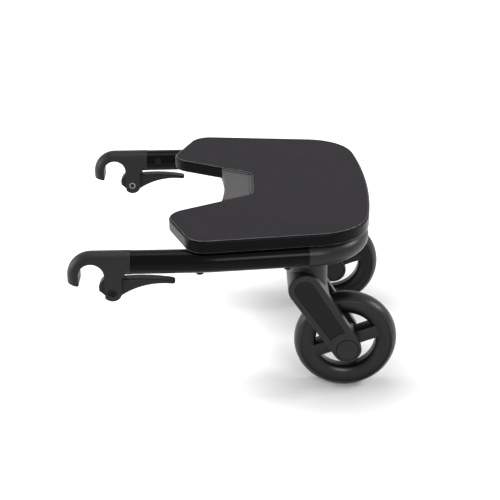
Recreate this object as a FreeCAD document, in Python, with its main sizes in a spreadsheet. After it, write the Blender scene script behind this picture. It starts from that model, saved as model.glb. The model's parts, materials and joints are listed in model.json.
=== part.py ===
import FreeCAD, Part
import math
import os
import re
import Sketcher
from FreeCAD import Placement, Rotation, Vector

# Driving sizes, in millimetres, degrees and shares
SIZES = {
    # Whole board
    "overall_length": 393.0,
    "overrun": 2.0,
    "fit_gap": 0.05,
    "running_gap": 0.08,
    "axial_play": 0.2,
    "face_gap": 0.3,
    "socket_share": 0.5,
    "socket_depth_share": 0.6,
    # Side tubes
    "tube_spacing": 330.0,
    "tube_diameter": 28.0,
    "tube_wall": 2.0,
    "tube_height": 198.0,
    "tube_bend_angle": 5.7,
    "tube_bend_radius": 160.0,
    "tube_bend_setback": 89.5,
    # Hooks
    "hook_outer_radius": 29.0,
    "hook_drop": 11.6,
    "bore_diameter": 29.6,
    "sleeve_diameter": 28.6,
    "sleeve_length": 45.4,
    "hook_spigot_length": 34.0,
    "tip_drop": 12.9,
    "tip_rise": 1.4,
    "tip_round": 1.6,
    "pin_reach": 23.5,
    "pin_drop": 21.4,
    "ear_radius": 11.2,
    "ear_width": 26.0,
    "ear_slot": 13.6,
    "ear_root_round": 3.5,
    "slot_radius": 18.3,
    # Screws that hold the hooks in the tubes
    "hook_screw_setback": 15.5,
    "hook_screw_tilt": 15.0,
    "hook_screw_diameter": 4.0,
    "hook_screw_bite": 9.0,
    "hook_screw_head": 8.4,
    "hook_screw_head_height": 2.4,
    # Latch levers
    "lever_width": 13.0,
    "lever_hub_radius": 10.0,
    "lever_root": 8.0,
    "lever_length": 72.5,
    "lever_top_reach": 30.0,
    "lever_top_height": 14.2,
    "lever_top_radius": 214.0,
    "lever_hollow_reach": 58.0,
    "lever_hollow_height": 7.6,
    "lever_hollow_radius": 86.0,
    "lever_tip_round": 4.0,
    "lever_edge_round": 1.2,
    "nose_reach": 16.2,
    "nose_height": 14.5,
    # Latch bolts, nuts and springs
    "bolt_diameter": 6.0,
    "bolt_head": 9.8,
    "bolt_head_height": 3.0,
    "bolt_sink": 1.4,
    "nut_diameter": 8.3,
    "nut_length": 5.0,
    "spring_wire": 0.9,
    "spring_pitch": 1.4,
    "spring_turns": 3.5,
    "spring_lever_leg": 9.0,
    "spring_slot": 8.6,
    # Rear chassis
    "chassis_lead": 3.6,
    "chassis_spigot_length": 40.0,
    "bow_reach": 59.0,
    "bow_corner_radius": 62.0,
    "web_reach": 36.0,
    "web_thick": 6.0,
    "socket_diameter": 40.0,
    "socket_drop": 18.0,
    "rib_thick": 5.0,
    "rib_drop": 6.0,
    "clip_pocket_diameter": 25.0,
    "clip_pocket_depth": 10.0,
    # Deck
    "deck_thick": 15.0,
    "deck_length": 253.0,
    "deck_overhang": 79.6,
    "deck_bow": 17.0,
    "deck_taper_angle": 6.4,
    "deck_side_reach": 13.7,
    "shoulder_setback": 34.1,
    "prong_spacing": 183.6,
    "notch_depth": 107.1,
    "notch_width": 69.0,
    "rear_corner_radius": 65.0,
    "shoulder_radius": 26.0,
    "prong_radius": 26.0,
    "notch_radius": 18.0,
    "deck_top_round": 2.5,
    "deck_bottom_round": 2.0,
    # Grip pad
    "grip_inset": 2.6,
    "grip_depth": 1.5,
    "grip_thick": 1.5,
    "grip_round": 0.3,
    # Notch plate
    "plate_length": 39.3,
    "plate_gap": 0.4,
    "plate_sag": 5.0,
    "plate_sink": 0.4,
    "plate_rim": 2.0,
    "plate_rim_height": 1.2,
    "plate_flange": 9.0,
    "plate_flange_thick": 3.0,
    # Screws up into the deck
    "deck_screw_diameter": 5.0,
    "deck_screw_bite": 10.0,
    "deck_screw_head": 9.0,
    "deck_screw_head_height": 2.2,
    "deck_screw_lead": 9.7,
    "deck_screw_setback": 24.0,
    "web_screw_diameter": 4.0,
    "web_screw_bite": 9.0,
    "web_screw_head": 8.0,
    "web_screw_head_height": 2.5,
    "web_screw_inset": 11.0,
    "web_screw_spacing": 150.0,
    "plate_screw_diameter": 3.0,
    "plate_screw_bite": 8.0,
    "plate_screw_head": 5.6,
    "plate_screw_head_height": 1.6,
    # Casters
    "wheel_diameter": 127.0,
    "caster_spacing": 222.0,
    "caster_trail": 46.0,
    "bush_diameter": 16.0,
    "bush_length": 10.0,
    "bush_flange": 2.0,
    "bush_flange_diameter": 22.0,
    "kingpin_diameter": 10.0,
    "kingpin_wall": 16.3,
    "kingpin_tail": 2.6,
    "clip_diameter": 18.0,
    "clip_thick": 1.4,
    "clip_groove": 1.0,
    "fork_width": 66.0,
    "fork_gap": 36.0,
    "fork_lead": 6.2,
    "barrel_drop": 32.3,
    "fork_wheel_gap": 11.0,
    "barrel_diameter": 40.0,
    "crown_diameter": 44.8,
    "crown_skirt": 5.0,
    "axle_boss_diameter": 35.0,
    "fork_edge_round": 2.5,
    "inlay_width": 25.4,
    "inlay_foot_width": 21.0,
    "inlay_end_radius": 24.0,
    "inlay_depth": 1.6,
    "inlay_thick": 1.2,
    "axle_diameter": 8.0,
    "cap_diameter": 27.0,
    "cap_gap": 0.8,
    "cap_recess": 4.0,
    "cap_crown": 0.6,
    "cap_chamfer": 0.8,
    # Wheels
    "washer_diameter": 18.0,
    "washer_thick": 1.2,
    "hub_diameter": 32.0,
    "wheel_bush_diameter": 14.0,
    "wheel_bush_length": 14.0,
    "spoke_width": 17.0,
    "spoke_depth": 20.0,
    "spoke_tilt": 19.0,
    "rim_bore_diameter": 74.0,
    "rim_seat_diameter": 106.0,
    "rim_lip": 2.0,
    "rim_lip_thick": 2.2,
    "rim_width": 26.0,
    "rim_round": 9.0,
    "tyre_width": 30.0,
    "tyre_edge_round": 1.0,
}

# Places worked out from the driving sizes
PLACES = {
    "tube_half": "tube_spacing / 2",
    "tube_radius": "tube_diameter / 2",
    "tube_bore_radius": "tube_radius - tube_wall",
    "spigot_radius": "tube_bore_radius - fit_gap",
    "hook_x": "hook_outer_radius - overall_length / 2",
    "hook_seam": "hook_x + sleeve_length",
    "bore_height": "tube_height - hook_drop",
    "pin_x": "hook_x + pin_reach",
    "pin_height": "bore_height - pin_drop",
    "axle_height": "wheel_diameter / 2",
    "wheel_x": "(overall_length - wheel_diameter) / 2",
    "swivel_x": "wheel_x - caster_trail",
    "caster_half": "caster_spacing / 2",
    "chassis_seam": "swivel_x - chassis_lead",
    "bend_x": "hook_seam + tube_bend_setback",
    "bend_tangent": "tube_bend_radius * tan(tube_bend_angle / 2)",
    "tube_rear_half": "tube_half - (chassis_seam - bend_x) * tan(tube_bend_angle)",
    "elbow_radius": "hook_outer_radius - sleeve_diameter / 2",
    "bore_radius": "bore_diameter / 2",
    "bolt_radius": "bolt_diameter / 2",
    "bolt_seat": "ear_width / 2 - bolt_head_height - bolt_sink",
    "lever_pin_radius": "bolt_radius + running_gap",
    "spring_radius": "bolt_radius + face_gap + spring_wire / 2",
    "spring_slot_half": "spring_radius + spring_wire",
    "bow_x": "swivel_x + bow_reach",
    "bow_half": "tube_rear_half - (bow_x - chassis_seam) * tan(tube_bend_angle)",
    "bow_tangent": "bow_corner_radius * tan(45 - tube_bend_angle / 2)",
    "bow_turn_x": "bow_x - bow_tangent * cos(tube_bend_angle)",
    "bow_turn_half": "bow_half + bow_tangent * sin(tube_bend_angle)",
    "bow_straight_half": "bow_half - bow_tangent",
    "web_front": "chassis_seam - web_reach",
    "web_half": "tube_rear_half - tube_radius / 2",
    "web_under": "tube_radius - web_thick",
    "crown_top": "tube_height - socket_drop - bush_flange",
    "bush_radius": "bush_diameter / 2",
    "kingpin_radius": "kingpin_diameter / 2",
    "deck_bottom": "tube_height + tube_radius",
    "deck_rear": "swivel_x + deck_overhang",
    "deck_front": "deck_rear - deck_length",
    "shoulder_x": "deck_front + shoulder_setback",
    "shoulder_half": "tube_half + deck_side_reach",
    "front_screw_x": "max(shoulder_x + deck_screw_lead; hook_seam + hook_spigot_length + deck_screw_head)",
    "tail_x": "deck_rear - deck_bow",
    "tail_half": "shoulder_half - (tail_x - shoulder_x) * tan(deck_taper_angle)",
    "prong_half": "prong_spacing / 2",
    "notch_end": "deck_front + notch_depth",
    "notch_half": "notch_width / 2",
    "notch_slope": "(prong_half - notch_half) / notch_depth",
    "plate_front": "notch_end - plate_length",
    "plate_front_half": "notch_half + plate_length * notch_slope",
    "plate_top": "deck_thick - plate_sink",
    "crown_rise": "crown_top - axle_height",
    "wheel_room": "axle_height + fork_wheel_gap",
    "kingpin_depth": "crown_rise - kingpin_wall - sqrt(wheel_room ^ 2 - (caster_trail - kingpin_radius) ^ 2)",
    "fork_half": "fork_width / 2",
    "fork_rise": "crown_rise - barrel_drop",
    "fork_run": "caster_trail + fork_lead",
    "leg_length": "sqrt(fork_run ^ 2 + fork_rise ^ 2)",
    "leg_lean": "atan2(fork_run; fork_rise)",
    "barrel_radius": "barrel_diameter / 2",
    "axle_boss_radius": "axle_boss_diameter / 2",
    "leg_taper": "(barrel_radius - axle_boss_radius) / leg_length",
    "leg_taper_share": "sqrt(1 - leg_taper ^ 2)",
    "axle_radius": "axle_diameter / 2",
    "axle_half": "fork_half - cap_recess",
    "hub_half": "fork_gap / 2 - washer_thick - axial_play",
    "rim_seat_radius": "rim_seat_diameter / 2",
    "rim_lip_radius": "rim_seat_radius + rim_lip",
    "tyre_foot_half": "rim_width / 2 - rim_lip_thick - fit_gap",
    "tyre_lip_radius": "rim_lip_radius + fit_gap",
    "tyre_crown": "axle_height - tyre_lip_radius",
    "tyre_crown_radius": "(tyre_width ^ 2 / 4 + tyre_crown ^ 2) / (2 * tyre_crown)",
}

doc = FreeCAD.newDocument("BuggyBoard")


def fill_sheet(name, cells):
    sheet = doc.addObject("Spreadsheet::Sheet", name)
    for row, (alias, content) in enumerate(cells.items(), 1):
        sheet.set(f"A{row}", alias)
        sheet.set(f"B{row}", str(content))
        sheet.setAlias(f"B{row}", alias)
    doc.recompute()
    return sheet


def formula(text):
    """Put the sheet's name before each size or place in the text."""
    def full_name(match):
        word = match.group(0)
        if word in SIZES:
            return f"Sizes.{word}"
        return f"Places.{word}" if word in PLACES else word
    return re.sub(r"[a-z_][a-z0-9_]*", full_name, text)


sizes = fill_sheet("Sizes", SIZES)
places = fill_sheet("Places", {name: f"={formula(text)}" for name, text in PLACES.items()})


def value(text):
    result = places.evalExpression(formula(text))
    return float(getattr(result, "Value", result))


def bind(thing, formulas):
    for name, text in formulas.items():
        thing.setExpression(name, formula(text))


def new_body(label):
    body = doc.addObject("PartDesign::Body", label)
    body.Label = label
    return body


def place(thing, x="0", y="0", z="0", turn=None):
    """Place a sub-part; turn is an angle about X."""
    thing.Placement = Placement(Vector(value(x), value(y), value(z)),
                                Rotation(Vector(1, 0, 0), value(turn or "0")))
    bind(thing, {"Placement.Base.x": x, "Placement.Base.y": y, "Placement.Base.z": z})
    if turn:
        bind(thing, {"Placement.Rotation.Angle": turn})
    return thing


def new_sketch(body, role, across="0", up="0", out="0", turn=None, turn_axis=Vector(0, 0, 1)):
    """Sketch on one of the body's own planes, moved in that plane and out of it, then turned."""
    sketch = body.newObject("Sketcher::SketchObject", "Sketch")
    plane = next(item for item in body.Origin.OriginFeatures if item.Role == role)
    sketch.AttachmentSupport = (plane, [""])
    sketch.MapMode = "FlatFace"
    sketch.AttachmentOffset = Placement(Vector(), Rotation(turn_axis, value(turn or "0")))
    bind(sketch, {"AttachmentOffset.Base.x": across, "AttachmentOffset.Base.y": up,
                  "AttachmentOffset.Base.z": out})
    if turn:
        bind(sketch, {"AttachmentOffset.Rotation.Angle": turn})
    return sketch


def hold(sketch, shape, end, u, v):
    """Tie a point of a sketch to a place in the sketch's plane."""
    for kind, text, axis in (("DistanceX", u, -2), ("DistanceY", v, -1)):
        if text == "0":
            sketch.addConstraint(Sketcher.Constraint("PointOnObject", shape, end, axis))
        else:
            tie = Sketcher.Constraint(kind, -1, 1, shape, end, value(text))
            number = sketch.addConstraint(tie)
            bind(sketch, {f"Constraints[{number}]": text})


def circle(sketch, radius, u="0", v="0"):
    shape = sketch.addGeometry(Part.Circle(Vector(value(u), value(v), 0), Vector(0, 0, 1), value(radius)))
    hold(sketch, shape, 3, u, v)
    number = sketch.addConstraint(Sketcher.Constraint("Radius", shape, value(radius)))
    bind(sketch, {f"Constraints[{number}]": radius})


def arc_middle(start, end, radius, side):
    """Point halfway along an arc whose centre is left (1) or right (-1) of the chord."""
    chord = end - start
    centre_height = math.sqrt(max(radius ** 2 - (chord.Length / 2) ** 2, 0))
    left = Vector(-chord.y, chord.x, 0).normalize()
    return (start + end) / 2 - left * side * (radius - centre_height)


def run_of_edges(sketch, corners, closed=True):
    """Lines and arcs through corners (u, v) or, before an arc, (u, v, radius, side)."""
    spots = [Vector(value(corner[0]), value(corner[1]), 0) for corner in corners]
    count = len(corners) if closed else len(corners) - 1
    ends = []
    for index in range(count):
        start = spots[index]
        end = spots[(index + 1) % len(spots)]
        if len(corners[index]) == 2:
            shape = sketch.addGeometry(Part.LineSegment(start, end))
        else:
            radius, side = corners[index][2:]
            middle = arc_middle(start, end, value(radius), side)
            shape = sketch.addGeometry(Part.Arc(start, middle, end))
            number = sketch.addConstraint(Sketcher.Constraint("Radius", shape, value(radius)))
            bind(sketch, {f"Constraints[{number}]": radius})
        first_is_start = sketch.getPoint(shape, 1).distanceToPoint(start) < sketch.getPoint(
            shape, 2).distanceToPoint(start)
        ends.append((shape, 1, 2) if first_is_start else (shape, 2, 1))
    for index in range(count if closed else count - 1):
        shape, _, tail = ends[index]
        following, head, _ = ends[(index + 1) % count]
        sketch.addConstraint(Sketcher.Constraint("Coincident", shape, tail, following, head))
    for (shape, head, _), corner in zip(ends, corners):
        hold(sketch, shape, head, corner[0], corner[1])
    if not closed:
        hold(sketch, ends[-1][0], ends[-1][2], corners[-1][0], corners[-1][1])


def rectangle(sketch, left, right, low, high):
    run_of_edges(sketch, ((left, low), (right, low), (right, high), (left, high)))


def pad(body, sketch, length, both=False, reverse=False):
    feature = body.newObject("PartDesign::Pad", "Pad")
    feature.Profile = sketch
    feature.SideType = "Symmetric" if both else "One side"
    feature.Reversed = reverse
    bind(feature, {"Length": length})
    doc.recompute()
    return feature


def pocket(body, sketch, length, both=False, reverse=False):
    before = body.Shape.Volume
    feature = body.newObject("PartDesign::Pocket", "Pocket")
    feature.Profile = sketch
    feature.SideType = "Symmetric" if both else "One side"
    feature.Reversed = reverse
    bind(feature, {"Length": length})
    doc.recompute()
    if not body.Shape.Volume < before:
        raise RuntimeError(f"a pocket of {body.Label} cuts nothing")
    return feature


def revolve(body, sketch, axis, angle=360, reverse=False):
    feature = body.newObject("PartDesign::Revolution", "Revolution")
    feature.Profile = sketch
    feature.ReferenceAxis = (sketch, [axis])
    feature.Angle = angle
    feature.Reversed = reverse
    doc.recompute()
    return feature


def round_edges(body, radius, chosen):
    """Fillet the edges that the test picks."""
    base = body.Tip
    names = [f"Edge{number}" for number, edge in enumerate(base.Shape.Edges, 1) if chosen(edge)]
    if not names:
        raise RuntimeError(f"no edge of {body.Label} to round")
    feature = body.newObject("PartDesign::Fillet", "Fillet")
    feature.Base = (base, names)
    bind(feature, {"Radius": radius})
    doc.recompute()
    return feature


def same(one, other):
    return abs(one - other) < 1e-4


def level(edge, height, axis="z"):
    """Whether an edge lies in a plane across the axis."""
    box = edge.BoundBox
    low, high = {"x": (box.XMin, box.XMax), "y": (box.YMin, box.YMax), "z": (box.ZMin, box.ZMax)}[axis]
    return same(low, height) and same(high, height)


def upright(edge, x, y):
    """Whether an edge stands along Z at a place."""
    return level(edge, x, "x") and level(edge, y, "y")


def turned(label, corners, **where):
    """A turned piece: the outline (radius, height) revolved about Z, then placed."""
    body = new_body(label)
    sketch = new_sketch(body, "XZ_Plane")
    run_of_edges(sketch, corners)
    revolve(body, sketch, "V_Axis")
    return place(body, **where)


def ring(label, inner, outer, low, high, **where):
    return turned(label, ((inner, low), (outer, low), (outer, high), (inner, high)), **where)


def screw(label, kind, length, **where):
    """A socket screw whose head stands on the plane z = 0, with its shank below."""
    shank = f"{kind}_diameter / 2"
    head = f"{kind}_head / 2"
    height = f"{kind}_head_height"
    socket = f"{head} * socket_share"
    floor = f"{height} * (1 - socket_depth_share)"
    corners = (("0", f"-({length})"), (shank, f"-({length})"), (shank, "0"), (head, "0"),
               (head, height), (socket, height), (socket, floor), ("0", floor))
    return turned(label, corners, **where)


def group(label, things):
    compound = doc.addObject("Part::Compound", label)
    compound.Label = label
    compound.Links = things
    doc.recompute()
    return compound


def mirrored(thing, label):
    copy = doc.addObject("Part::Mirroring", label)
    copy.Label = label
    copy.Source = thing
    copy.Normal = Vector(0, 1, 0)
    doc.recompute()
    return copy


# Places of the screws that come up through the tubes
DECK_SCREWS = (
    ("front_screw_x", "tube_half - max(front_screw_x - bend_x; 0) * tan(tube_bend_angle)"),
    ("chassis_seam - deck_screw_setback", "tube_rear_half + deck_screw_setback * tan(tube_bend_angle)"),
)
# Places of the screws that come up through the chassis web, on one side
WEB_SCREWS = (
    ("web_front + web_screw_inset", "web_screw_spacing / 2"),
    ("bow_x - tube_radius - web_screw_inset", "web_screw_spacing / 2"),
)
# Places of the screws that hold the notch plate, on one side
PLATE_SCREWS = (
    ("notch_end + plate_flange / 2", "notch_half / 2"),
    ("plate_front + plate_length / 2", "notch_half + (plate_length * notch_slope + plate_flange) / 2"),
)
# Deck corners on one side: place, shares of an inset along X and Y, radius, sign of the inset in the radius
DECK_CORNER_SHARES = (
    ("tail_x", "tail_half", "-0.82", "-0.91", "rear_corner_radius", "-"),
    ("shoulder_x", "shoulder_half", "+0.65", "-1.08", "shoulder_radius", "-"),
    ("deck_front", "prong_half", "+1.254", "+0.461", "prong_radius", "-"),
    ("notch_end", "notch_half", "+1", "+0.6", "notch_radius", "+"),
)


# Corners of the lever's nose, in shares of its reach and height
NOSE_SHARES = (
    ("0", "0"),
    ("0", "0.86 * nose_height"),
    ("-0.59 * nose_reach", "nose_height"),
    ("-0.83 * nose_reach", "0.77 * nose_height"),
    ("-nose_reach", "0.34 * nose_height"),
    ("-0.99 * nose_reach", "-0.05 * nose_height"),
    ("-0.6 * nose_reach", "-0.46 * nose_height"),
)


def side_tube():
    body = new_body("left_side_tube")
    path = new_sketch(body, "XY_Plane")
    run_of_edges(path, (
        ("hook_seam", "-tube_half"),
        ("bend_x - bend_tangent", "-tube_half", "tube_bend_radius", 1),
        ("bend_x + bend_tangent * cos(tube_bend_angle)", "bend_tangent * sin(tube_bend_angle) - tube_half"),
        ("chassis_seam", "-tube_rear_half"),
    ), closed=False)
    section = new_sketch(body, "YZ_Plane", across="-tube_half", out="hook_seam")
    circle(section, "tube_radius")
    circle(section, "tube_bore_radius")
    pipe = body.newObject("PartDesign::AdditivePipe", "Pipe")
    pipe.Profile = section
    pipe.Spine = (path, [])
    doc.recompute()
    for x, half in DECK_SCREWS:
        hole = new_sketch(body, "XY_Plane")
        circle(hole, "deck_screw_diameter / 2 + fit_gap", x, f"-({half})")
        pocket(body, hole, "tube_diameter + overrun", both=True)
    screw_hole(body, "hook_seam + hook_screw_setback", "tube_half", "0")
    return place(body, z="tube_height")


def screw_hole(body, x, half, height):
    """Tilted hole, from the tube's axis out through its inner wall, for the hook's screw."""
    hole = new_sketch(body, "XZ_Plane", x, height, half, "hook_screw_tilt", Vector(1, 0, 0))
    circle(hole, "hook_screw_diameter / 2 + fit_gap")
    pocket(body, hole, "tube_radius + overrun")


def hook():
    body = new_body("left_hook")
    sleeve = new_sketch(body, "YZ_Plane", up="hook_drop")
    circle(sleeve, "sleeve_diameter / 2")
    pad(body, sleeve, "sleeve_length")
    spigot = new_sketch(body, "YZ_Plane", up="hook_drop")
    circle(spigot, "spigot_radius")
    pad(body, spigot, "sleeve_length + hook_spigot_length")
    # The elbow turns a quarter circle about a line below the sleeve, then runs down to the tip
    elbow = new_sketch(body, "YZ_Plane", up="hook_drop - elbow_radius")
    circle(elbow, "sleeve_diameter / 2", "0", "elbow_radius")
    revolve(body, elbow, "H_Axis", 90, reverse=True)
    leg = new_sketch(body, "XY_Plane", out="hook_drop - elbow_radius")
    circle(leg, "sleeve_diameter / 2", "-elbow_radius", "0")
    pad(body, leg, "hook_drop - elbow_radius + tip_drop", reverse=True)
    # Ears, with a rounded root under the sleeve
    ear = new_sketch(body, "XZ_Plane", across="pin_reach", up="-pin_drop")
    root = "pin_drop + hook_drop - sleeve_diameter / 2 - ear_root_round"
    run_of_edges(ear, (
        ("-ear_radius", "0"),
        ("ear_radius", "0"),
        ("ear_radius", root, "ear_root_round", -1),
        ("ear_radius + ear_root_round", f"{root} + ear_root_round"),
        ("ear_radius + ear_root_round", "pin_drop + hook_drop"),
        ("-ear_radius", "pin_drop + hook_drop"),
    ))
    pad(body, ear, "ear_width", both=True)
    lobe = new_sketch(body, "XZ_Plane", across="pin_reach", up="-pin_drop")
    circle(lobe, "ear_radius")
    pad(body, lobe, "ear_width", both=True)
    # Mouth: a round bore with straight walls down to the tip
    bore = new_sketch(body, "XZ_Plane")
    circle(bore, "bore_radius")
    pocket(body, bore, "sleeve_diameter + overrun", both=True)
    mouth = new_sketch(body, "XZ_Plane")
    rectangle(mouth, "-bore_radius", "bore_radius", "-pin_drop - ear_radius - overrun", "0")
    pocket(body, mouth, "sleeve_diameter + overrun", both=True)
    tip = new_sketch(body, "XZ_Plane")
    run_of_edges(tip, (
        ("-bore_radius", "-tip_drop"),
        ("-hook_outer_radius", "tip_rise - tip_drop"),
        ("-hook_outer_radius", "-tip_drop - overrun"),
        ("-bore_radius", "-tip_drop - overrun"),
    ))
    pocket(body, tip, "sleeve_diameter + overrun", both=True)
    foot = value("tip_rise - tip_drop + face_gap")
    round_edges(body, "tip_round", lambda edge: edge.BoundBox.ZMax < foot and edge.BoundBox.XMax < 0)
    # Flat cheeks, flush with the ears
    for out, turn_out in (("ear_width / 2", True), ("-ear_width / 2", False)):
        cheek = new_sketch(body, "XZ_Plane", out=out)
        rectangle(cheek, "-hook_outer_radius - overrun", "sleeve_length", "-pin_drop",
                  "hook_drop + sleeve_diameter / 2 + overrun")
        pocket(body, cheek, "sleeve_diameter", reverse=turn_out)
    # Slot for the lever, and the holes of its bolt and nut
    slot = new_sketch(body, "XZ_Plane", across="pin_reach", up="-pin_drop")
    circle(slot, "slot_radius")
    pocket(body, slot, "ear_slot", both=True)
    pin = new_sketch(body, "XZ_Plane", across="pin_reach", up="-pin_drop")
    circle(pin, "bolt_radius + fit_gap")
    pocket(body, pin, "ear_width + overrun", both=True)
    head = new_sketch(body, "XZ_Plane", across="pin_reach", up="-pin_drop", out="bolt_seat")
    circle(head, "bolt_head / 2 + face_gap")
    pocket(body, head, "ear_width", reverse=True)
    nut = new_sketch(body, "XZ_Plane", across="pin_reach", up="-pin_drop", out="nut_length - ear_width / 2")
    circle(nut, "nut_diameter / 2 + fit_gap")
    pocket(body, nut, "ear_width")
    screw_hole(body, "sleeve_length + hook_screw_setback", "0", "hook_drop")
    return place(body, "hook_x", "-tube_half", "bore_height")


def hook_screw():
    return screw("left_hook_screw", "hook_screw", "hook_screw_bite", x="hook_seam + hook_screw_setback",
                 y="tube_radius * cos(hook_screw_tilt) - tube_half",
                 z="tube_height + tube_radius * sin(hook_screw_tilt)", turn="hook_screw_tilt - 90")


def arc_height(top, radius, reach, x):
    """Height of an arc of the lever above x, where its crest lies at reach."""
    return f"{top} - {radius} + sqrt({radius} ^ 2 - ({x} - {reach}) ^ 2)"


def latch_lever():
    body = new_body("left_latch_lever")
    hub = new_sketch(body, "XZ_Plane")
    circle(hub, "lever_hub_radius")
    pad(body, hub, "lever_width", both=True)
    upper = ("lever_top_height", "lever_top_radius", "lever_top_reach")
    under = ("lever_hollow_height", "lever_hollow_radius", "lever_hollow_reach")
    handle = new_sketch(body, "XZ_Plane")
    run_of_edges(handle, (
        ("lever_root", arc_height(*under, "lever_root"), "lever_hollow_radius", -1),
        ("lever_length", arc_height(*under, "lever_length")),
        ("lever_length", arc_height(*upper, "lever_length"), "lever_top_radius", 1),
        ("lever_root", arc_height(*upper, "lever_root")),
        ("0", "lever_hub_radius"),
        ("0", "0"),
        ("lever_root", "0"),
    ))
    pad(body, handle, "lever_width", both=True)
    nose = new_sketch(body, "XZ_Plane")
    run_of_edges(nose, NOSE_SHARES)
    pad(body, nose, "lever_width", both=True)
    tip = value("lever_length")
    tip_start = value("lever_length - lever_tip_round - fit_gap")
    half = value("lever_width / 2")

    def on_side(edge):
        return level(edge, half, "y") or level(edge, -half, "y")

    def on_rim(edge):
        standing = same(edge.BoundBox.XLength, 0) and same(edge.BoundBox.YLength, 0)
        return not standing and (on_side(edge) or edge.BoundBox.XMin > tip_start)

    round_edges(body, "lever_tip_round", lambda edge: level(edge, tip, "x") and on_side(edge))
    round_edges(body, "lever_edge_round", on_rim)
    # Room for the spring, open at the top, and the hole of the bolt
    room = new_sketch(body, "XZ_Plane")
    rectangle(room, "-spring_slot_half", "spring_slot_half", "0", "slot_radius")
    pocket(body, room, "spring_slot", both=True)
    coil = new_sketch(body, "XZ_Plane")
    circle(coil, "spring_slot_half")
    pocket(body, coil, "spring_slot", both=True)
    # The nose stays clear of the tube that the hook holds
    held = new_sketch(body, "XZ_Plane", across="-pin_reach", up="pin_drop")
    circle(held, "bore_radius + face_gap")
    pocket(body, held, "lever_width + overrun", both=True)
    pin = new_sketch(body, "XZ_Plane")
    circle(pin, "lever_pin_radius")
    pocket(body, pin, "lever_width + overrun", both=True)
    return place(body, "pin_x", "-tube_half", "pin_height")


def latch_bolt():
    return screw("left_latch_bolt", "bolt", "bolt_seat + ear_width / 2 - axial_play", x="pin_x",
                 y="-tube_half - bolt_seat", z="pin_height", turn="90")


def latch_nut():
    return ring("left_latch_nut", "bolt_radius + fit_gap", "nut_diameter / 2", "0", "nut_length", x="pin_x",
                y="ear_width / 2 - tube_half", z="pin_height", turn="90")


def biarc(start, start_way, end, end_way):
    """Two arcs that leave start and reach end along the given unit directions."""
    span = end - start
    ways = start_way + end_way
    bend = 2 * (1 - start_way.dot(end_way))
    reach = (math.sqrt(span.dot(ways) ** 2 + bend * span.dot(span)) - span.dot(ways)) / bend
    first_knee = start + start_way * reach
    last_knee = end - end_way * reach
    joint = (first_knee + last_knee) / 2
    arcs = []
    for head, knee, tail in ((start, first_knee, joint), (joint, last_knee, end)):
        middle = (head + tail) / 2
        half = (tail - head).Length / 2
        sagitta = half * math.tan(math.acos(half / reach) / 2)
        crest = middle + (knee - middle).normalize() * sagitta
        arcs.append(Part.Arc(head, crest, tail).toShape())
    return arcs


def latch_spring():
    """Torsion spring round the bolt: one leg under the slot's roof, the other on the lever."""
    radius = value("spring_radius")
    wire = value("spring_wire")
    pitch = value("spring_pitch")
    turns = value("spring_turns")

    def helix(angle):
        along = pitch * (angle / (2 * math.pi) - turns / 2)
        spot = Vector(radius * math.cos(angle), along, -radius * math.sin(angle))
        way = Vector(-radius * math.sin(angle), pitch / (2 * math.pi), -radius * math.cos(angle))
        return spot, way.normalize()

    quarters = round(turns * 4)
    knots = [helix(2 * math.pi * turns * index / quarters) for index in range(quarters + 1)]
    roof_leg = math.sqrt(value("slot_radius") ** 2 - (radius + wire / 2) ** 2) - value("face_gap")
    start = knots[0][0] - knots[0][1] * roof_leg
    finish = knots[-1][0] + knots[-1][1] * value("spring_lever_leg")
    edges = [Part.LineSegment(start, knots[0][0]).toShape()]
    for (spot, way), (next_spot, next_way) in zip(knots, knots[1:]):
        edges += biarc(spot, way, next_spot, next_way)
    edges.append(Part.LineSegment(knots[-1][0], finish).toShape())
    path = Part.Wire(edges)
    section = Part.Wire([Part.Circle(start, knots[0][1], wire / 2).toShape()])
    count = quarters * 32
    samples = [helix(2 * math.pi * turns * index / count)[0] for index in range(count + 1)]
    apart = round(count / turns / 2)
    gap = min(one.distanceToPoint(other) for index, one in enumerate(samples)
              for other in samples[index + apart:]) - wire
    print(f"latch spring: least gap between turns {gap:.2f}")
    feature = doc.addObject("Part::Feature", "left_latch_spring")
    feature.Label = "left_latch_spring"
    feature.Shape = path.makePipeShell([section], True, False)
    print(f"latch spring: volume {feature.Shape.Volume:.2f}, section times length "
          f"{math.pi * wire ** 2 / 4 * path.Length:.2f}")
    return place(feature, "pin_x", "-tube_half", "pin_height")


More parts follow.
